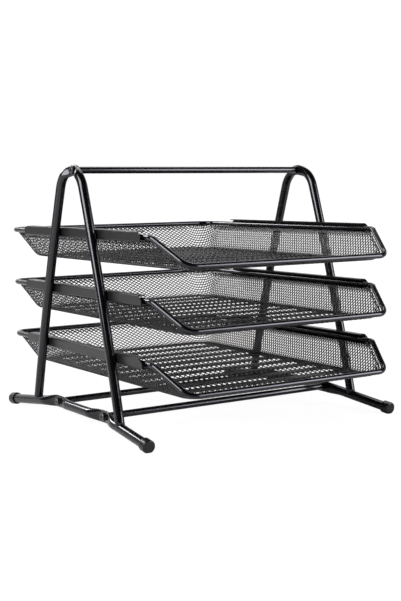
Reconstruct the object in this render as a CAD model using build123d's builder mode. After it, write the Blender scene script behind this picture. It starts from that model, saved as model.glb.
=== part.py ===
from build123d import *
import math
import os

os.makedirs("parts", exist_ok=True)

# A three-level letter tray stack: two hairpin side frames on foot tubes, joined by a handle bar and
# two crossbars, carry six channel runners, and three wire-rimmed mesh trays slide in the runners.
# Millimetres. X runs from the left frame to the right one, -Y is the front, +Z is up.

# Side frames and foot tubes
frame_spacing = 290.0  # between the two side frames, centre to centre
leg_tube_diameter = 9.5
handle_height = 258.5  # axis of the handle bar and of the hairpin's crown
crown_bend_radius = 26.0
leg_top_lean = 18.5  # degrees from upright where the leg leaves the crown
leg_foot_reach = 90.5  # from the middle to where a leg's axis meets its foot tube
foot_tube_diameter = 10.0
foot_level_reach = 54.0  # half of the foot tube's level middle
foot_slope = 6.5  # degrees down, of the foot tube's outer parts
foot_splay = 3.2  # degrees outward, of the foot tube's outer parts
weld_gap = 0.1  # left between welded curved faces

# Foot caps
cap_diameter = 13.0
cap_length = 10.0
cap_end_wall = 2.0
cap_edge_radius = 1.2
cap_reach = 149.0  # from the middle to the cap's outer face
cap_flat_depth = 0.4
cap_fit_gap = 0.05

# Bars, their screws and the flattened seats of the screws
handle_bar_diameter = 7.0
crossbar_diameter = 7.0
crossbar_reach = 50.0
seat_thickness = 3.0
seat_press = 0.4  # how far the tube's inner side is pressed in at a seat
head_clearance = 0.6
crown_seat_length = 18.0
crown_seat_height = 11.2
foot_seat_length = 18.0
foot_seat_height = 12.4
screw_shank_diameter = 4.0
screw_grip_length = 10.0  # of shank inside the bar
screw_bore_spare = 2.0
screw_fit_gap = 0.05
screw_head_diameter = 8.0
screw_head_height = 2.4
screw_head_round = 1.0
recess_length = 4.4
recess_width = 0.9
recess_depth = 1.2

# Runners
runner_length = 248.4
runner_height = 9.9
runner_depth = 8.0
runner_sheet = 1.0
runner_bend_radius = 1.2
runner_front_chamfer_length = 6.5
runner_front_chamfer_height = 5.0
runner_rear_chamfer_length = 6.0
runner_rear_chamfer_height = 2.4
lowest_runner_height = 72.8
tray_pitch = 58.9
level_names = ("bottom", "middle", "top")

# Tray rim
rim_wire_diameter = 5.5
rim_running_gap = 0.5  # under the wire, over the runner's lower flange
rim_side_gap = 2.0  # beside the wire, inside the runner's web
rim_rear_reach = 172.25  # from the middle to the rear wire's axis
rim_rear_corner_radius = 16.0
rim_level_reach = 135.4  # from the middle forward to where the side rims start down
rim_front_reach = 172.25  # from the middle forward to the front wire's axis
rim_drop = 25.3
rim_slope_bend_radius = 8.0
rim_front_corner_radius = 13.0

# Tray basket
basket_sheet = 0.8
wall_lean = 31.0  # degrees from upright
basket_depth = 30.0  # from the rim's axis down to the underside
basket_rim_gap = 0.25
basket_edge_rise = 1.5  # of the sheet's top edge over the rim's axis
basket_top_corner_radius = 13.0
basket_bottom_corner_radius = 19.0
basket_floor_bend_radius = 8.0
rib_count = 10
rib_pitch = 30.0
rib_width = 12.0
rib_height = 2.2
rib_length = 196.0
rib_row_centre = -8.0

# Places that follow from the sizes
frame_x = frame_spacing / 2
leg_inner_x = frame_x - leg_tube_diameter / 2
foot_fall = math.tan(math.radians(foot_slope))
foot_flare = math.tan(math.radians(foot_splay))
foot_middle_x = frame_x - (leg_foot_reach - foot_level_reach) * foot_flare
foot_inner_x = foot_middle_x - foot_tube_diameter / 2
cap_axis_height = cap_diameter / 2 - cap_flat_depth
cap_middle_reach = cap_reach - cap_length / 2
foot_level_height = cap_axis_height + (cap_middle_reach - foot_level_reach) * foot_fall
foot_end_reach = cap_reach - cap_end_wall
leg_foot_height = foot_level_height - (leg_foot_reach - foot_level_reach) * foot_fall
runner_outer_x = leg_inner_x - weld_gap
runner_heights = [lowest_runner_height + tray_pitch * level for level in range(len(level_names))]
rim_half_width = runner_outer_x - runner_sheet - rim_side_gap - rim_wire_diameter / 2
rim_offset = runner_sheet + rim_running_gap + rim_wire_diameter / 2
lean_tangent = math.tan(math.radians(wall_lean))
rim_low_half_width = rim_half_width - rim_drop * lean_tangent
sides = (("left", -1), ("right", 1))
ends = (("front", -1), ("rear", 1))


def finish(builder, node_name):
    builder.part.label = node_name
    export_step(builder.part, f"parts/{node_name}.step")


def foot_point(side, reach):
    # A point of the foot tube's axis, on its level middle or on one of its sloping outer parts
    past_bend = max(abs(reach) - foot_level_reach, 0)
    return (side * (foot_middle_x + past_bend * foot_flare), reach, foot_level_height - past_bend * foot_fall)


def foot_points(side):
    reaches = (-foot_end_reach, -foot_level_reach, foot_level_reach, foot_end_reach)
    return [foot_point(side, reach) for reach in reaches]


def flatten_for_screw(side, inner_x, centre, seat_length, seat_height, tube_diameter):
    # The tube is pressed flat, so that the screw's head sits sunk in a dent of its outer side.
    seat_x = inner_x + seat_press
    head_x = seat_x + seat_thickness
    mouth_x = inner_x + tube_diameter
    head_half = screw_head_diameter / 2 + head_clearance
    seat_plane = Plane.YZ.offset(side * seat_x)
    with BuildSketch(Plane.XY.offset(centre[1])) as dent:
        with BuildLine():
            Polyline(
                (side * head_x, centre[0] - head_half),
                (side * head_x, centre[0] + head_half),
                (side * mouth_x, centre[0] + seat_length / 2),
                (side * mouth_x, centre[0] - seat_length / 2),
                close=True,
            )
        make_face()
    extrude(dent.sketch, amount=seat_height, both=True, mode=Mode.SUBTRACT)
    with BuildSketch(seat_plane) as seat:
        with Locations(centre):
            Ellipse(seat_length / 2, seat_height / 2)
    extrude(seat.sketch, amount=side * seat_thickness)
    extrude(seat.sketch, amount=-side * tube_diameter, mode=Mode.SUBTRACT)
    with BuildSketch(seat_plane) as screw_hole:
        with Locations(centre):
            Circle(screw_shank_diameter / 2 + screw_fit_gap)
    extrude(screw_hole.sketch, amount=side * tube_diameter, mode=Mode.SUBTRACT)


# Foot tubes: level between the crossbars, then sloping down and outward to the caps.
# Each bend is a sharp one, in the stretch that is pressed flat for a screw.
for side_name, side in sides:
    with BuildPart() as foot_tube:
        with BuildLine() as foot_line:
            Polyline(*foot_points(side))
        with BuildSketch(Plane(origin=foot_line.line @ 0, x_dir=(0, 0, 1), z_dir=foot_line.line % 0)):
            Circle(foot_tube_diameter / 2)
        sweep(transition=Transition.RIGHT)
        for end_name, end in ends:
            seat_centre = (end * crossbar_reach, foot_level_height)
            flatten_for_screw(
                side, foot_inner_x, seat_centre, foot_seat_length, foot_seat_height, foot_tube_diameter
            )
    finish(foot_tube, f"{side_name}_foot_tube")

# Foot caps: cups pushed over the tube ends, with a small flat where they stand
for side_name, side in sides:
    for end_name, end in ends:
        tube_end = foot_point(side, end * foot_end_reach)
        outward = Vector(*tube_end) - Vector(*foot_point(side, end * foot_level_reach))
        cap_plane = Plane(origin=tube_end, z_dir=outward)
        with BuildPart() as foot_cap:
            with BuildSketch(cap_plane.offset(cap_end_wall - cap_length)):
                Circle(cap_diameter / 2)
            extrude(amount=cap_length)
            fillet(foot_cap.edges().filter_by(GeomType.CIRCLE), radius=cap_edge_radius)
            with BuildSketch(cap_plane.offset(cap_fit_gap)):
                Circle(foot_tube_diameter / 2 + cap_fit_gap)
            extrude(amount=-cap_length, mode=Mode.SUBTRACT)
            split(bisect_by=Plane.XY, keep=Keep.TOP)
        finish(foot_cap, f"{side_name}_{end_name}_foot_cap")

# Side frames: one tube bent round the crown, with bowed legs coped onto the foot tube
crown_centre_height = handle_height - crown_bend_radius
leg_sine = math.sin(math.radians(leg_top_lean))
leg_cosine = math.cos(math.radians(leg_top_lean))
leg_top_reach = crown_bend_radius * leg_cosine
leg_top_height = crown_centre_height + crown_bend_radius * leg_sine
leg_end_height = leg_foot_height + foot_tube_diameter * 0.15
for side_name, side in sides:
    with BuildPart() as side_frame:
        with BuildLine() as frame_line:
            ThreePointArc(
                (side * frame_x, -leg_top_reach, leg_top_height),
                (side * frame_x, 0, handle_height),
                (side * frame_x, leg_top_reach, leg_top_height),
            )
            for end_name, end in ends:
                TangentArc(
                    (side * frame_x, end * leg_top_reach, leg_top_height),
                    (side * frame_x, end * leg_foot_reach, leg_end_height),
                    tangent=(0, end * leg_sine, -leg_cosine),
                )
        frame_wire = frame_line.wires()[0]
        with BuildSketch(Plane(origin=frame_wire @ 0, z_dir=frame_wire % 0)):
            Circle(leg_tube_diameter / 2)
        sweep(path=frame_wire)
        for end_name, end in ends:
            cope_start = Vector(*foot_point(side, end * foot_end_reach))
            cope_run = Vector(*foot_point(side, end * foot_level_reach)) - cope_start
            with BuildSketch(Plane(origin=cope_start, z_dir=cope_run)):
                Circle(foot_tube_diameter / 2 + weld_gap)
            extrude(amount=cope_run.length, mode=Mode.SUBTRACT)
        flatten_for_screw(
            side, leg_inner_x, (0, handle_height), crown_seat_length, crown_seat_height, leg_tube_diameter
        )
    finish(side_frame, f"{side_name}_side_frame")

# Handle bar and crossbars, tapped at both ends for the screws
bars = (
    ("handle_bar", handle_bar_diameter, leg_inner_x + seat_press, (0, handle_height)),
    ("front_crossbar", crossbar_diameter, foot_inner_x + seat_press, (-crossbar_reach, foot_level_height)),
    ("rear_crossbar", crossbar_diameter, foot_inner_x + seat_press, (crossbar_reach, foot_level_height)),
)
for bar_name, bar_diameter, bar_end_x, centre in bars:
    with BuildPart() as bar:
        with BuildSketch(Plane.YZ.offset(-bar_end_x)):
            with Locations(centre):
                Circle(bar_diameter / 2)
        extrude(amount=2 * bar_end_x)
        for side_name, side in sides:
            with BuildSketch(Plane.YZ.offset(side * bar_end_x)):
                with Locations(centre):
                    Circle(screw_shank_diameter / 2 + screw_fit_gap)
            extrude(amount=-side * (screw_grip_length + screw_bore_spare), mode=Mode.SUBTRACT)
    finish(bar, bar_name)


# Screws: pan heads with a cross recess, sunk in the flattened seats
with BuildPart() as screw:
    with BuildSketch():
        Circle(screw_head_diameter / 2)
    extrude(amount=screw_head_height)
    fillet(screw.edges().group_by(Axis.Z)[-1], radius=screw_head_round)
    with BuildSketch(Plane.XY.offset(screw_head_height - recess_depth)):
        Rectangle(recess_length, recess_width)
        Rectangle(recess_width, recess_length)
    extrude(amount=recess_depth, mode=Mode.SUBTRACT)
    with BuildSketch():
        Circle(screw_shank_diameter / 2)
    extrude(amount=-(seat_thickness + screw_grip_length))

with BuildPart() as crossbar_screws:
    for side_name, side in sides:
        for end_name, end in ends:
            seat = (side * (foot_inner_x + seat_press + seat_thickness), end * crossbar_reach, foot_level_height)
            with Locations(Plane(origin=seat, x_dir=(0, 1, 0), z_dir=(side, 0, 0))):
                add(screw.part)
finish(crossbar_screws, "crossbar_screws")

with BuildPart() as handle_screws:
    for side_name, side in sides:
        seat = (side * (leg_inner_x + seat_press + seat_thickness), 0, handle_height)
        with Locations(Plane(origin=seat, x_dir=(0, 1, 0), z_dir=(side, 0, 0))):
            add(screw.part)
finish(handle_screws, "handle_screws")

# Runners: bent channels, open towards the tray, with clipped upper corners
runner_half = runner_length / 2
for level_name, height in zip(level_names, runner_heights):
    for side_name, side in sides:
        with BuildPart() as runner:
            with BuildSketch(Plane.XZ):
                with Locations((side * (runner_outer_x - runner_depth / 2), height + runner_height / 2)):
                    Rectangle(runner_depth, runner_height)
                outer_corners = vertices().group_by(Axis.X)[-1 if side > 0 else 0]
                fillet(outer_corners, radius=runner_bend_radius)
                with Locations(
                    (side * (runner_outer_x - runner_depth / 2 - runner_sheet), height + runner_height / 2)
                ):
                    Rectangle(runner_depth, runner_height - 2 * runner_sheet, mode=Mode.SUBTRACT)
            extrude(amount=runner_half, both=True)
            top = height + runner_height
            with BuildSketch(Plane.YZ.offset(side * runner_outer_x)):
                with BuildLine():
                    Polyline(
                        (-runner_half, top - runner_front_chamfer_height),
                        (-runner_half, top),
                        (-runner_half + runner_front_chamfer_length, top),
                        close=True,
                    )
                make_face()
                with BuildLine():
                    Polyline(
                        (runner_half, top - runner_rear_chamfer_height),
                        (runner_half, top),
                        (runner_half - runner_rear_chamfer_length, top),
                        close=True,
                    )
                make_face()
            extrude(amount=-side * runner_depth, mode=Mode.SUBTRACT)
        finish(runner, f"{level_name}_{side_name}_runner")

# Tray rim: one wire loop, level in the runners, then down and in to the low front.
# It is drawn with its level part at height zero and placed at each level further down.
with BuildPart() as rim_form:
    with BuildLine() as rim_line:
        FilletPolyline(
            (0, rim_rear_reach, 0),
            (rim_half_width, rim_rear_reach, 0),
            (rim_half_width, -rim_level_reach, 0),
            (rim_low_half_width, -rim_front_reach, -rim_drop),
            (0, -rim_front_reach, -rim_drop),
            radius=[rim_rear_corner_radius, rim_slope_bend_radius, rim_front_corner_radius],
        )
    with BuildSketch(Plane(origin=rim_line.line @ 0, z_dir=rim_line.line % 0)):
        Circle(rim_wire_diameter / 2)
    sweep()
    mirror(about=Plane.YZ)

# Tray basket: a pan with leaning walls, cut down at the front, with ribs pressed up in its floor
lean_cosine = math.cos(math.radians(wall_lean))
wall_stand_off = (rim_wire_diameter / 2 + basket_rim_gap) / lean_cosine
trim_slope = math.atan2(rim_drop, rim_front_reach - rim_level_reach)
trim_shift = basket_edge_rise * math.tan(trim_slope / 2)
rib_radius = (rib_width**2 / 4 + rib_height**2) / (2 * rib_height)


def pan_outline(height, inset, corner_radius):
    # The walls' outline at a height over the rim's axis, moved in by an inset square to the walls
    shift = height * lean_tangent - wall_stand_off - inset / lean_cosine
    half_width = rim_half_width + shift
    rear_reach = rim_rear_reach + shift
    front_reach = rim_front_reach + rim_drop * lean_tangent + shift
    with BuildSketch(Plane.XY.offset(height)) as outline:
        with Locations((0, (rear_reach - front_reach) / 2)):
            RectangleRounded(2 * half_width, rear_reach + front_reach, corner_radius - inset)
    return outline.sketch


def pan(inset):
    with BuildPart() as body:
        loft(
            [
                pan_outline(inset - basket_depth, inset, basket_bottom_corner_radius),
                pan_outline(basket_edge_rise, inset, basket_top_corner_radius),
            ],
            ruled=True,
        )
        fillet(body.faces().sort_by(Axis.Z)[0].edges(), radius=basket_floor_bend_radius - inset)
    return body.part


def rib_row(radius, length):
    # The parts of a row of circles that stand above the basket's underside
    with BuildSketch(Plane.YZ) as section:
        for rib in range(rib_count):
            rib_y = rib_row_centre + (rib - (rib_count - 1) / 2) * rib_pitch
            with Locations((rib_y, rib_height - basket_depth - rib_radius)):
                Circle(radius)
        with Locations((rib_row_centre, -basket_depth - rib_radius)):
            Rectangle(rib_pitch * (rib_count + 1), 2 * rib_radius, mode=Mode.SUBTRACT)
    with BuildPart() as row:
        extrude(section.sketch, amount=length / 2, both=True)
    return row.part


with BuildPart() as basket_form:
    add(pan(0))
    add(pan(basket_sheet), mode=Mode.SUBTRACT)
    with BuildSketch(Plane.YZ):
        with BuildLine():
            Polyline(
                (-rim_level_reach - trim_shift, basket_edge_rise),
                (-rim_front_reach - trim_shift, basket_edge_rise - rim_drop),
                (-2 * rim_front_reach, basket_edge_rise - rim_drop),
                (-2 * rim_front_reach, basket_edge_rise + rim_drop),
                (-rim_level_reach - trim_shift, basket_edge_rise + rim_drop),
                close=True,
            )
        make_face()
    extrude(amount=frame_x, both=True, mode=Mode.SUBTRACT)
    add(rib_row(rib_radius + basket_sheet, rib_length + 2 * basket_sheet))
    add(rib_row(rib_radius, rib_length), mode=Mode.SUBTRACT)

for level_name, height in zip(level_names, runner_heights):
    with BuildPart() as tray_rim:
        with Locations((0, 0, height + rim_offset)):
            add(rim_form.part)
    finish(tray_rim, f"{level_name}_tray_rim")
    with BuildPart() as tray_basket:
        with Locations((0, 0, height + rim_offset)):
            add(basket_form.part)
    finish(tray_basket, f"{level_name}_tray_basket")
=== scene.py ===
import bpy
import math
import numpy as np
from mathutils import Matrix, Vector


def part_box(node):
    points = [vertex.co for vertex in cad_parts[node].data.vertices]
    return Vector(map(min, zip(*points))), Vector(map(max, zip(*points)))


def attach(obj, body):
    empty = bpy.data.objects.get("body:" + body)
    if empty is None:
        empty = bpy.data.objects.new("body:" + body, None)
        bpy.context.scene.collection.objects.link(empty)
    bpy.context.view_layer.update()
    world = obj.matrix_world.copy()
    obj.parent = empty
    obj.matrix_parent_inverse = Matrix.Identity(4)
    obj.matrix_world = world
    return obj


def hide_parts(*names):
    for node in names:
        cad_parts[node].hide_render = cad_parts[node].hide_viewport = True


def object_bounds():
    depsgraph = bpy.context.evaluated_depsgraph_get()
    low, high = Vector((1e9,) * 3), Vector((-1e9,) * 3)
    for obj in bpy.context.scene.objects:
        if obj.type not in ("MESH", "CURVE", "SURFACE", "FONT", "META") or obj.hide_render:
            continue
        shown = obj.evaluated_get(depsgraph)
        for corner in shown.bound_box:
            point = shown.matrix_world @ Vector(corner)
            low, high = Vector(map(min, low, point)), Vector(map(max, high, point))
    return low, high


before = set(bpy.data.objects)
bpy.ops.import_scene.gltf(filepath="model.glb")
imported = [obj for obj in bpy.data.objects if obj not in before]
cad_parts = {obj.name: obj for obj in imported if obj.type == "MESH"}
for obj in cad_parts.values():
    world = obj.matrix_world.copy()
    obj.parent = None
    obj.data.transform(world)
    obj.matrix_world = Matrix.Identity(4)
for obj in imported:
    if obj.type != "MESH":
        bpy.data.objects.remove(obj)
cadLow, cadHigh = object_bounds()
print("frame loaded:", len(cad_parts), "nodes")

mm = 0.001
levelNames = ("bottom", "middle", "top")
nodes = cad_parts


class Signal:  # a shader socket that can stand in an expression
    def __init__(self, graph, socket):
        self.graph = graph
        self.socket = socket

    def maths(self, operation, first, second):
        return self.graph.add("ShaderNodeMath", {"operation": operation}, {0: first, 1: second})

    def __add__(self, other):
        return self.maths("ADD", self, other)

    def __sub__(self, other):
        return self.maths("SUBTRACT", self, other)

    def __rsub__(self, other):
        return self.maths("SUBTRACT", other, self)

    def __mul__(self, other):
        return self.maths("MULTIPLY", self, other)

    __radd__ = __add__
    __rmul__ = __mul__


class Graph:  # the nodes of one material, or of the world
    def __init__(self, tree):
        self.tree = tree
        tree.nodes.clear()

    def add(self, kind, settings=None, sockets=None, output=0):
        node = self.tree.nodes.new(kind)
        for name, value in (settings or {}).items():
            if name == "stops":
                self.placeStops(node.color_ramp, value)
            else:
                setattr(node, name, value)
        for name, value in (sockets or {}).items():
            if isinstance(value, Signal):
                self.tree.links.new(value.socket, node.inputs[name])
            else:
                node.inputs[name].default_value = value
        return Signal(self, node.outputs[output]) if len(node.outputs) else None

    def placeStops(self, ramp, stops):
        while len(ramp.elements) < len(stops):
            ramp.elements.new(1.0)
        for element, (place, colour) in zip(ramp.elements, stops):
            element.position = place
            element.color = colour

    def mixColour(self, factor, first, second):
        return self.add(
            "ShaderNodeMix", {"data_type": "RGBA"}, {0: factor, 6: first, 7: second}, output=2
        )

    def vector(self, operation, sockets):  # a vector operation that gives a number
        return self.add("ShaderNodeVectorMath", {"operation": operation}, sockets, output="Value")

    def ramp(self, value, source, target):  # from one range of numbers to another
        ends = {"From Min": source[0], "From Max": source[1], "To Min": target[0], "To Max": target[1]}
        return self.add("ShaderNodeMapRange", None, {"Value": value, **ends})

    def noise(self, place, scale, detail=2.0, roughness=0.5):
        values = {"Vector": place, "Scale": scale, "Detail": detail, "Roughness": roughness}
        return self.add("ShaderNodeTexNoise", {"noise_dimensions": "3D"}, values)


def opaque(colour):
    return (*colour, 1.0)


white = opaque((1.0, 1.0, 1.0))
peelNoise = {"detail": 3.0, "roughness": 0.6}


def coatMaterial(name, finish):  # powder coat or moulded plastic, with a fine orange peel
    material = bpy.data.materials.new(name)
    material.use_nodes = True
    graph = Graph(material.node_tree)
    place = graph.add("ShaderNodeTexCoord", output="Object")
    broad = graph.noise(place, finish["patchScale"])
    fine = graph.noise(place, finish["peelScale"], **peelNoise)
    colour = graph.mixColour(broad, opaque(finish["dark"]), opaque(finish["light"]))
    fineChange = (fine - 0.5) * finish["fineSpread"]
    broadChange = (broad - 0.5) * finish["patchSpread"]
    roughness = finish["roughness"] + fineChange + broadChange
    peel = {"Strength": finish["peelStrength"], "Distance": finish["peelDepth"] * mm, "Height": fine}
    bump = graph.add("ShaderNodeBump", None, peel)
    sockets = {
        "Base Color": colour,
        "Roughness": roughness,
        "Normal": bump,
        "Specular IOR Level": finish["specular"],
        "Specular Tint": opaque(finish["tint"]),
    }
    shader = graph.add("ShaderNodeBsdfPrincipled", None, sockets)
    graph.add("ShaderNodeOutputMaterial", None, {"Surface": shader})
    return material


finishes = {
    "frame_coat": {
        "dark": (0.0015, 0.0015, 0.002), "light": (0.003, 0.003, 0.0035), "patchScale": 22.0,
        "peelScale": 650.0, "peelStrength": 0.05, "peelDepth": 0.02, "roughness": 0.17,
        "fineSpread": 0.10, "patchSpread": 0.08, "specular": 0.5, "tint": (0.93, 0.92, 1.0),
    },
    "runner_coat": {
        "dark": (0.005, 0.005, 0.0055), "light": (0.008, 0.008, 0.0085), "patchScale": 30.0,
        "peelScale": 800.0, "peelStrength": 0.15, "peelDepth": 0.03, "roughness": 0.33,
        "fineSpread": 0.10, "patchSpread": 0.08, "specular": 0.42, "tint": (1.0, 1.0, 1.0),
    },
    "rim_coat": {
        "dark": (0.0015, 0.0015, 0.002), "light": (0.003, 0.003, 0.0035), "patchScale": 25.0,
        "peelScale": 700.0, "peelStrength": 0.05, "peelDepth": 0.02, "roughness": 0.18,
        "fineSpread": 0.10, "patchSpread": 0.08, "specular": 0.5, "tint": (0.92, 0.9, 1.0),
    },
    "mesh_coat": {
        "dark": (0.003, 0.003, 0.0035), "light": (0.007, 0.007, 0.0075), "patchScale": 60.0,
        "peelScale": 900.0, "peelStrength": 0.12, "peelDepth": 0.02, "roughness": 0.24,
        "fineSpread": 0.10, "patchSpread": 0.08, "specular": 0.5, "tint": (1.0, 1.0, 1.0),
    },
    "cap_plastic": {
        "dark": (0.002, 0.002, 0.0025), "light": (0.004, 0.004, 0.0045), "patchScale": 80.0,
        "peelScale": 1500.0, "peelStrength": 0.15, "peelDepth": 0.03, "roughness": 0.27,
        "fineSpread": 0.12, "patchSpread": 0.06, "specular": 0.42, "tint": (1.0, 1.0, 1.0),
    },
    "screw_black": {
        "dark": (0.010, 0.010, 0.011), "light": (0.020, 0.020, 0.021), "patchScale": 200.0,
        "peelScale": 2000.0, "peelStrength": 0.15, "peelDepth": 0.02, "roughness": 0.2,
        "fineSpread": 0.10, "patchSpread": 0.10, "specular": 0.8, "tint": (1.0, 1.0, 1.0),
    },
}
materials = {name: coatMaterial(name, finish) for name, finish in finishes.items()}


def slotOf(nodeName):
    if "screws" in nodeName:
        return "screw_black"
    if "cap" in nodeName:
        return "cap_plastic"
    if "runner" in nodeName:
        return "runner_coat"
    if "rim" in nodeName:
        return "rim_coat"
    if "basket" in nodeName:
        return "mesh_coat"
    return "frame_coat"


for nodeName, node in nodes.items():
    node.data.materials.clear()
    node.data.materials.append(materials[slotOf(nodeName)])
print("finishes:", len(materials))

# Side frames and foot tubes. The tubes are crushed smoothly where the screws pass through them.
tubing = {
    "footDiameter": 10.0,
    "footMiddle": (142.96, 16.354),  # outward reach and height of the level stretch
    "footLevelReach": 54.0,
    "footEndReach": 147.0,
    "footSlope": 6.5,  # degrees down
    "footSplay": 3.2,  # degrees outward
    "footSeatReach": 50.0,
    "footSeatHeight": 12.4,
    "frameDiameter": 9.5,
    "frameReach": 145.0,
    "crownHeight": 258.5,
    "crownRadius": 26.0,
    "crownSeatHeight": 11.2,
    "legLean": 18.5,  # degrees from upright, where a leg leaves the crown
    "legFoot": (90.5, 12.2),
    "seatThickness": 2.95,
    "seatPress": 0.4,  # how far the inner side gives
    "seatFlat": 8.8,  # length of a seat
    "seatSquareness": 0.6,  # of a seat's section, where 0 is an ellipse
    "footCrushRun": 23.0,  # from a seat's end to the round tube
    "crownCrushRun": 13.0,
    "ringPoints": 28,
    "fineStep": 0.6,  # between rings
    "fineReach": 66.0,
    "coarseStep": 4.0,
    "crownRings": 80,
    "legRings": 40,
}


def crushShare(distance, crushRun):  # 1 at a seat, 0 where the tube is round
    progress = np.clip((tubing["seatFlat"] / 2 + crushRun - np.abs(distance)) / crushRun, 0, 1)
    return progress**2 * (3 - 2 * progress)


def unit(vectors):
    return vectors / np.linalg.norm(vectors, axis=1, keepdims=True)


def tubeMesh(name, path, share, diameter, seatHeight, side):
    along = unit(np.gradient(path, axis=0))
    sideways = np.array([side, 0.0, 0.0])
    outward = unit(sideways - along * (along @ sideways)[:, None])
    across = np.cross(along, outward)
    halfWidth = (diameter + (tubing["seatThickness"] - diameter) * share) / 2
    halfHeight = (diameter + (seatHeight - diameter) * share) / 2
    middle = path + outward * (halfWidth - diameter / 2 + tubing["seatPress"] * share)[:, None]
    points = tubing["ringPoints"]
    angles = np.linspace(0, 2 * math.pi, points, endpoint=False)
    power = 1 / (1 + share[:, None] * tubing["seatSquareness"])
    wide = np.sign(np.cos(angles)) * np.abs(np.cos(angles)) ** power * halfWidth[:, None]
    tall = np.sign(np.sin(angles)) * np.abs(np.sin(angles)) ** power * halfHeight[:, None]
    rings = middle[:, None] + outward[:, None] * wide[..., None] + across[:, None] * tall[..., None]
    starts = np.arange(len(path) - 1)[:, None] * points
    first = starts + np.arange(points)[None]
    second = starts + np.roll(np.arange(points), -1)[None]
    quads = np.stack([first, second, second + points, first + points], -1).reshape(-1, 4).tolist()
    last = (len(path) - 1) * points
    ends = [list(range(points))[::-1], list(range(last, last + points))]
    mesh = bpy.data.meshes.new(name)
    mesh.from_pydata((rings.reshape(-1, 3) * mm).tolist(), [], quads + ends)
    mesh.polygons.foreach_set("use_smooth", [True] * len(quads) + [False] * 2)
    mesh.materials.append(materials["frame_coat"])
    mesh.validate()
    return mesh


def footPath(side):
    fine = np.arange(0, tubing["fineReach"], tubing["fineStep"])
    coarse = np.arange(tubing["fineReach"], tubing["footEndReach"], tubing["coarseStep"])
    reach = np.concatenate([fine, coarse, [tubing["footEndReach"]]])
    reach = np.concatenate([-reach[:0:-1], reach])
    past = np.maximum(np.abs(reach) - tubing["footLevelReach"], 0)
    outward = tubing["footMiddle"][0] + past * math.tan(math.radians(tubing["footSplay"]))
    height = tubing["footMiddle"][1] - past * math.tan(math.radians(tubing["footSlope"]))
    share = crushShare(np.abs(reach) - tubing["footSeatReach"], tubing["footCrushRun"])
    return np.stack([side * outward, reach, height], 1), share


def framePath(side):
    lean = math.radians(tubing["legLean"])
    turns = np.linspace(0, math.pi / 2 - lean, tubing["crownRings"])
    radius = tubing["crownRadius"]
    crownMiddle = tubing["crownHeight"] - radius
    crown = np.stack([radius * np.sin(turns), crownMiddle + radius * np.cos(turns)], 1)
    start, run = crown[-1], np.array([math.sin(lean), -math.cos(lean)])
    square = np.array([-run[1], run[0]])
    chord = np.array(tubing["legFoot"]) - start
    bow = chord @ chord / (2 * chord @ square)
    sweep = 2 * math.atan2(chord @ square, chord @ run)
    bends = np.linspace(0, sweep, tubing["legRings"])[1:]
    leg = start + bow * (np.sin(bends)[:, None] * run + (1 - np.cos(bends))[:, None] * square)
    half = np.concatenate([crown, leg])
    crushed = crushShare(turns * radius, tubing["crownCrushRun"])
    share = np.concatenate([crushed, np.zeros(len(leg))])
    both = np.concatenate([half[:0:-1] * (-1, 1), half])
    path = np.insert(both, 0, side * tubing["frameReach"], axis=1)
    return path, np.concatenate([share[:0:-1], share])


def addPiece(name, mesh, body, replaced, rise=0.0):
    piece = bpy.data.objects.new(name, mesh)
    bpy.context.scene.collection.objects.link(piece)
    piece.location.z = rise
    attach(piece, body)
    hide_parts(replaced)


def makeTubes():
    tubes = (
        ("foot_tube", "FootTube", footPath, tubing["footDiameter"], tubing["footSeatHeight"]),
        ("side_frame", "Frame", framePath, tubing["frameDiameter"], tubing["crownSeatHeight"]),
    )
    for sideName, side in (("left", -1), ("right", 1)):
        for tubeName, meshName, pathOf, diameter, seatHeight in tubes:
            mesh = tubeMesh(f"{sideName}{meshName}", *pathOf(side), diameter, seatHeight, side)
            replaced = f"{sideName}_{tubeName}"
            addPiece(f"{sideName}_crushed_{tubeName}", mesh, "stand", replaced)
    print("tubes ready")


makeTubes()

# Expanded metal baskets. The flat sheet's diamonds are carried onto the pressed form, so that they
# crowd in the corners and run up the walls, and the edge is folded double under the rim wire.
basket = {
    "cellLength": 6.2,  # of a diamond, across the tray
    "cellWidth": 3.95,  # of a diamond, along the tray
    "strandWidth": 0.87,
    "strandThickness": 0.43,
    "strandTilt": 0.15,  # how far a diamond's tips stand off the sheet
    "wallLean": 31.0,  # degrees from upright
    "depth": 29.6,  # from the rim's axis down to the floor's middle layer
    "bendRadius": 7.6,
    "topCorner": 14.5,  # radius at the rim
    "floorCorner": 19.0,
    "rimGap": 0.25,
    "foldWidth": 1.6,  # of the sheet taken up by the fold at its edge
    "hemWidth": 3.4,
    "hemStep": 0.8,
    "ribCount": 10,
    "ribPitch": 30.0,
    "ribWidth": 12.0,
    "ribHeight": 2.9,
    "ribLength": 196.0,
    "ribMiddle": -8.0,
    "ribEndRun": 7.0,
    "pleatDepth": 1.1,
    "pleatCount": 4,
    "pleatRun": 30.0,  # up the wall to the pleats' full depth
    "pleatPower": 1.5,
    "searchMargin": 60.0,  # past the floor, where diamonds are looked for
}
rimWire = {"diameter": 5.5, "levelReach": 135.4, "drop": 25.3}


def rimMeasures():
    low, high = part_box("top_tray_rim")
    radius = rimWire["diameter"] / 2
    return {
        "halfWidth": high.x / mm - radius,
        "rearReach": high.y / mm - radius,
        "frontReach": -low.y / mm - radius,
    }


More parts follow.
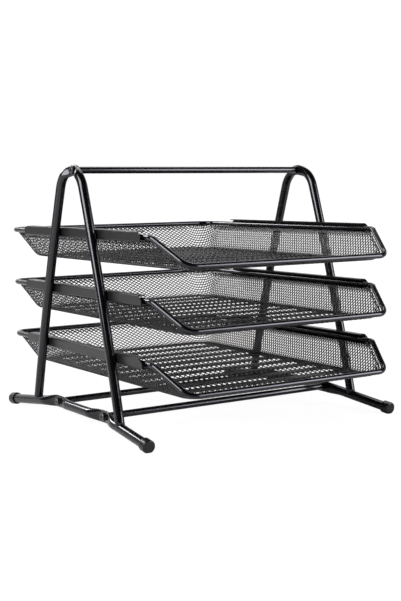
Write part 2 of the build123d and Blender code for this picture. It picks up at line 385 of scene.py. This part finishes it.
rim = rimMeasures()
leanTangent = math.tan(math.radians(basket["wallLean"]))
wallAngle = math.radians(90 - basket["wallLean"])
bendRun = basket["bendRadius"] * wallAngle
floorLevel = -basket["depth"]
bendTop = floorLevel + basket["bendRadius"] * (1 - math.cos(wallAngle))
bendInset = basket["bendRadius"] * math.tan(wallAngle / 2)
floorShift = floorLevel * leanTangent - bendInset
floorHalfWidth = rim["halfWidth"] + floorShift
floorRear = rim["rearReach"] + floorShift
floorFront = rim["frontReach"] + rimWire["drop"] * leanTangent + floorShift
foldCorner = basket["floorCorner"] - bendInset
edgeDrop = rimWire["diameter"] / 2 + basket["rimGap"] + basket["strandThickness"] / 2


def riseOf(run):  # height over the floor's fold, and outward reach, of a run up the wall
    bent = np.clip(run, 0, bendRun) / basket["bendRadius"]
    straight = np.maximum(run - bendRun, 0)
    reach = basket["bendRadius"] * np.sin(bent) + straight * math.cos(wallAngle)
    height = basket["bendRadius"] * (1 - np.cos(bent)) + straight * math.sin(wallAngle)
    return floorLevel + height, reach


def runOf(height):  # the run up the wall that reaches a height
    cosine = np.clip(1 - (height - floorLevel) / basket["bendRadius"], -1, 1)
    bent = basket["bendRadius"] * np.arccos(cosine)
    straight = bendRun + (height - bendTop) / math.sin(wallAngle)
    return np.where(height < bendTop, bent, straight)


def ribLift(x, y):
    half = basket["ribWidth"] / 2
    radius = (half**2 + basket["ribHeight"] ** 2) / (2 * basket["ribHeight"])
    first = basket["ribMiddle"] - (basket["ribCount"] - 1) / 2 * basket["ribPitch"]
    nearest = np.clip(np.round((y - first) / basket["ribPitch"]), 0, basket["ribCount"] - 1)
    across = np.abs(y - first - nearest * basket["ribPitch"])
    arch = np.sqrt(np.maximum(radius**2 - across**2, 0)) - radius + basket["ribHeight"]
    ending = np.clip((basket["ribLength"] / 2 - np.abs(x)) / basket["ribEndRun"], 0, 1)
    return np.maximum(arch, 0) * np.sin(ending * math.pi / 2)


def formed(u, v):  # for a point of the flat sheet: its place, its run up the wall and its pleat
    side = np.sign(u) + (u == 0)
    end = np.where(v > 0, 1.0, -1.0)
    reach = np.where(v > 0, floorRear, floorFront)
    alongU = np.abs(u) - (floorHalfWidth - foldCorner)
    alongV = np.abs(v) - (reach - foldCorner)
    cornered = (alongU > 0) & (alongV > 0)
    radial = np.hypot(alongU, alongV)
    run = np.where(cornered, radial, np.maximum(alongU, alongV)) - foldCorner
    height, outward = riseOf(run)
    heightShare = np.clip((height - floorLevel) / basket["depth"], 0, 1)
    cornerRadius = foldCorner + (basket["topCorner"] - foldCorner) * heightShare
    spare = outward + foldCorner - cornerRadius
    share = np.arctan2(np.maximum(alongV, 0), np.maximum(alongU, 1e-9)) / (math.pi / 2)
    length = 2 * spare + cornerRadius * math.pi / 2
    travel = share * length
    turn = np.clip((travel - spare) / cornerRadius, 0, math.pi / 2)
    past = np.maximum(travel - spare - cornerRadius * math.pi / 2, 0)
    cornerX = floorHalfWidth - foldCorner + spare + cornerRadius * np.cos(turn) - past
    cornerY = reach - foldCorner + np.minimum(travel, spare) + cornerRadius * np.sin(turn)
    onWall = run > 0
    useCorner = cornered & onWall
    wallX = np.abs(u) + np.where(onWall & (alongU > alongV), outward - run, 0)
    wallY = np.abs(v) + np.where(onWall & (alongV >= alongU), outward - run, 0)
    x = side * np.where(useCorner, cornerX, wallX)
    y = end * np.where(useCorner, cornerY, wallY)
    inCorner = np.where(useCorner, np.sin(share * math.pi) ** 2, 0)
    wave = (1 - np.cos(share * 2 * math.pi * basket["pleatCount"])) / 2
    growth = np.clip(run / basket["pleatRun"], 0, 1) ** basket["pleatPower"]
    pleat = inCorner * wave * growth * basket["pleatDepth"]
    return np.stack([x, y, height + ribLift(x, y) * (run < 0)], 1), run, pleat


def edgeRoom(u, v):  # how far inside the sheet's folded edge a point lies
    points, run, _ = formed(u, v)
    y = points[:, 1]
    slopeReach = rim["frontReach"] - rimWire["levelReach"]
    slopeAngle = math.atan2(rimWire["drop"] / math.sin(wallAngle), slopeReach)
    start = edgeDrop * math.tan(slopeAngle / 2) - rimWire["levelReach"]
    stop = start - slopeReach
    top = -edgeDrop * math.sin(wallAngle)
    fall = np.clip((start - y) / (start - stop), 0, 1) * rimWire["drop"]
    level = runOf(top - fall)
    sloping = (y < start) & (y > stop)
    pitch = np.where(sloping, rimWire["drop"] / math.sin(wallAngle) / (start - stop), 0)
    return (level - run) / np.sqrt(1 + pitch**2)


def placeOnForm(points, lift):  # flat points, lifted off the sheet's middle layer, on the form
    u, v = points[:, 0].copy(), points[:, 1].copy()
    room = edgeRoom(u, v)
    step = 0.05
    slopeU = (edgeRoom(u + step, v) - edgeRoom(u - step, v)) / (2 * step)
    slopeV = (edgeRoom(u, v + step) - edgeRoom(u, v - step)) / (2 * step)
    steepness = np.maximum(np.hypot(slopeU, slopeV), 1e-6)
    beyond = np.maximum(-room, 0)
    back = np.maximum(beyond, 2 * beyond - basket["foldWidth"])
    u += back * slopeU / steepness
    v += back * slopeV / steepness
    place, _, pleat = formed(u, v)
    alongU = formed(u + step, v)[0] - formed(u - step, v)[0]
    alongV = formed(u, v + step)[0] - formed(u, v - step)[0]
    normal = np.cross(alongU, alongV)
    normal /= np.maximum(np.linalg.norm(normal, axis=1, keepdims=True), 1e-9)
    layer = basket["hemStep"] * np.clip(beyond / basket["foldWidth"], 0, 1)
    return place + normal * (lift + layer + pleat)[:, None]


def latticeCells():  # centres of the sheet's diamonds, in half cells, that stay inside the blank
    halfLength, halfWidth = basket["cellLength"] / 2, basket["cellWidth"] / 2
    reachU = int((floorHalfWidth + basket["searchMargin"]) / halfLength)
    reachV = int((max(floorRear, floorFront) + basket["searchMargin"]) / halfWidth)
    across, along = np.meshgrid(np.arange(-reachU, reachU + 1), np.arange(-reachV, reachV + 1))
    across, along = across.ravel(), along.ravel()
    even = (across + along) % 2 == 0
    across, along = across[even], along[even]
    room = edgeRoom(across * halfLength, along * halfWidth)
    kept = room > -basket["hemWidth"] - basket["foldWidth"]
    return across[kept], along[kept]


def meshFromCells(name, across, along):
    halfLength, halfWidth = basket["cellLength"] / 2, basket["cellWidth"] / 2
    spacing = halfLength * halfWidth * 2 / math.hypot(halfLength, halfWidth)
    openShare = 1 - basket["strandWidth"] / spacing
    corners = np.array([(1, 0), (0, 1), (-1, 0), (0, -1)])
    centres = np.stack([across, along], 1)[:, None, :]
    outerKeys = (centres + corners[None]).reshape(-1, 2)
    keys, shared = np.unique(outerKeys, axis=0, return_inverse=True)
    shared = shared.reshape(-1, 4)
    outer = keys * (halfLength, halfWidth)
    inner = (centres + corners[None] * openShare).reshape(-1, 2) * (halfLength, halfWidth)
    tilts = np.tile(np.array([0, -1, 0, 1]) * basket["strandTilt"], len(across))
    flat = np.concatenate([outer, inner])
    lift = np.concatenate([np.zeros(len(outer)), tilts])
    half = basket["strandThickness"] / 2
    upper = placeOnForm(flat, lift + half)
    lower = placeOnForm(flat, lift - half)
    count = len(flat)
    innerIds = len(outer) + np.arange(len(inner)).reshape(-1, 4)
    faces = []
    for corner in range(4):
        following = (corner + 1) % 4
        start, stop = innerIds[:, corner], innerIds[:, following]
        top = np.stack([shared[:, corner], shared[:, following], stop, start], 1)
        bottom = top[:, ::-1] + count
        wall = np.stack([start, stop, stop + count, start + count], 1)
        faces += [top, bottom, wall]
    edges = np.concatenate([shared[:, [corner, (corner + 1) % 4]] for corner in range(4)])
    ordered = np.sort(edges, axis=1)
    _, first, uses = np.unique(ordered, axis=0, return_index=True, return_counts=True)
    start, stop = edges[first[uses == 1]].T  # of the edges that only one diamond has
    faces.append(np.stack([stop, start, start + count, stop + count], 1))
    quads = np.concatenate(faces)
    places = np.concatenate([upper, lower]) * mm
    mesh = bpy.data.meshes.new(name)
    mesh.vertices.add(len(places))
    mesh.vertices.foreach_set("co", places.astype(np.float32).ravel())
    mesh.loops.add(quads.size)
    mesh.loops.foreach_set("vertex_index", quads.astype(np.int32).ravel())
    mesh.polygons.add(len(quads))
    mesh.polygons.foreach_set("loop_start", np.arange(0, quads.size, 4, dtype=np.int32))
    mesh.update(calc_edges=True)
    mesh.validate()
    mesh.materials.append(materials["mesh_coat"])
    return mesh


def makeBaskets():
    across, along = latticeCells()
    _, run, _ = formed(across * basket["cellLength"] / 2, along * basket["cellWidth"] / 2)
    onFloor = run < 0
    parts = {
        "mesh_floor": meshFromCells("meshFloor", across[onFloor], along[onFloor]),
        "mesh_walls": meshFromCells("meshWalls", across[~onFloor], along[~onFloor]),
    }
    for level in levelNames:
        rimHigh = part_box(f"{level}_tray_rim")[1]
        rise = rimHigh.z - rimWire["diameter"] / 2 * mm
        tray, replaced = f"{level}_tray", f"{level}_tray_basket"
        for partName, mesh in parts.items():
            addPiece(f"{tray}_{partName}", mesh, tray, replaced, rise)
    print("baskets:", len(across), "diamonds a tray")


makeBaskets()

# Studio: a white room that is dark behind the camera, with soft boxes round the object
view = {
    "place": (-655.98, -1002.54, 240.16),
    "yaw": 33.5185,  # degrees from +Y towards +X
    "pitch": 5.8181,  # degrees down
    "roll": -0.6467,
    "lens": 66.623,
    "sensorWidth": 36,
    "clip": (0.05, 60),
}
studio = {
    "floorSize": 30.0,
    "floorColour": (0.82, 0.82, 0.82),
    "whiteLevel": 1.1,
    "glowRadii": (0.4, 2.0),  # from the object's middle
    "glowShares": (0.86, 0.99),  # of pure white where the camera sees the floor; the rest is shadow
}
sky = {
    "power": 1.1,
    "greys": ((0.0, 0.008), (0.3, 0.008), (0.6, 0.05), (0.9, 1.0)),  # from the camera's side to behind
    "bandTop": (0.38, 0.6),  # heights between which the sky fades
    "overhead": 0.1,
}
lamps = {
    "leftSoftbox": {
        "place": (-1.6, -0.1, 0.95), "size": (1.1, 1.1), "power": 43.0, "colour": (1.0, 1.0, 1.0),
    },
    "rightSoftbox": {
        "place": (1.1, -1.35, 0.45), "size": (0.7, 1.2), "power": 26.0, "colour": (0.98, 0.97, 1.0),
    },
    "backStrip": {
        "place": (-0.5, 1.5, 1.0), "size": (0.5, 0.28), "power": 8.0, "colour": (1.0, 1.0, 1.0),
    },
    "topSoftbox": {
        "place": (0.4, 0.9, 1.8), "size": (1.6, 0.7), "power": 14.0, "colour": (0.97, 0.96, 1.0),
    },
}
lampTarget = Vector((0.0, 0.0, 0.12))


def makeFloor():
    material = bpy.data.materials.new("studioFloor")
    material.use_nodes = True
    graph = Graph(material.node_tree)
    rays = graph.add("ShaderNodeLightPath", output="Is Camera Ray")
    matte = graph.add("ShaderNodeBsdfDiffuse", None, {"Color": opaque(studio["floorColour"])})
    light = {"Color": white, "Strength": studio["whiteLevel"]}
    glow = graph.add("ShaderNodeEmission", None, light)
    place = graph.add("ShaderNodeTexCoord", output="Object")
    distance = graph.vector("LENGTH", {0: place})
    glowShare = graph.ramp(distance, studio["glowRadii"], studio["glowShares"])
    seen = graph.add("ShaderNodeMixShader", None, {0: rays * glowShare, 1: matte, 2: glow})
    graph.add("ShaderNodeOutputMaterial", None, {"Surface": seen})
    half = studio["floorSize"] / 2
    mesh = bpy.data.meshes.new("floor")
    corners = [(-half, -half, 0), (half, -half, 0), (half, half, 0), (-half, half, 0)]
    mesh.from_pydata(corners, [], [(0, 1, 2, 3)])
    mesh.materials.append(material)
    floor = bpy.data.objects.new("floor", mesh)
    floor.location.z = cadLow.z
    bpy.context.scene.collection.objects.link(floor)


def makeSky():
    world = bpy.data.worlds.new("studioSky")
    bpy.context.scene.world = world
    world.use_nodes = True
    graph = Graph(world.node_tree)
    rays = graph.add("ShaderNodeLightPath", output="Is Camera Ray")
    direction = graph.add("ShaderNodeTexCoord", output="Generated")
    yaw = math.radians(view["yaw"])
    ahead = (math.sin(yaw), math.cos(yaw), 0)
    along = graph.vector("DOT_PRODUCT", {0: direction, 1: ahead})
    stops = [(place, (level, level, level, 1)) for place, level in sky["greys"]]
    grey = graph.add("ShaderNodeValToRGB", {"stops": stops}, {"Fac": along * 0.5 + 0.5})
    colour = graph.mixColour(rays, grey, white)
    height = graph.add("ShaderNodeSeparateXYZ", None, {"Vector": direction}, output="Z")
    glow = graph.ramp(height, sky["bandTop"], (sky["power"], sky["overhead"]))
    strength = rays + (1.0 - rays) * glow
    background = graph.add("ShaderNodeBackground", None, {"Color": colour, "Strength": strength})
    graph.add("ShaderNodeOutputWorld", None, {"Surface": background})


def makeLamps():
    for name, lamp in lamps.items():
        data = bpy.data.lights.new(name, "AREA")
        data.shape = "RECTANGLE"
        data.size, data.size_y = lamp["size"]
        data.energy = lamp["power"]
        data.color = lamp["colour"]
        light = bpy.data.objects.new(name, data)
        light.location = lamp["place"]
        aim = lampTarget - light.location
        light.rotation_euler = aim.to_track_quat("-Z", "Y").to_euler()
        light.visible_camera = False
        bpy.context.scene.collection.objects.link(light)


def makeCamera():
    yaw, pitch, roll = (math.radians(view[name]) for name in ("yaw", "pitch", "roll"))
    flatAhead = Vector((math.sin(yaw), math.cos(yaw), 0))
    ahead = flatAhead * math.cos(pitch) - Vector((0, 0, math.sin(pitch)))
    levelRight = Vector((math.cos(yaw), -math.sin(yaw), 0))
    levelUp = levelRight.cross(ahead)
    right = levelRight * math.cos(roll) + levelUp * math.sin(roll)
    up = levelUp * math.cos(roll) - levelRight * math.sin(roll)
    data = bpy.data.cameras.new("camera")
    data.lens = view["lens"]
    data.sensor_width = view["sensorWidth"]
    data.clip_start, data.clip_end = view["clip"]
    camera = bpy.data.objects.new("camera", data)
    turn = Matrix((right, up, -ahead)).transposed().to_4x4()
    camera.matrix_world = Matrix.Translation(Vector(view["place"]) * mm) @ turn
    bpy.context.scene.collection.objects.link(camera)
    bpy.context.scene.camera = camera


makeFloor()
makeSky()
makeLamps()
makeCamera()
bpy.context.scene.view_settings.view_transform = "Standard"
print("studio ready")
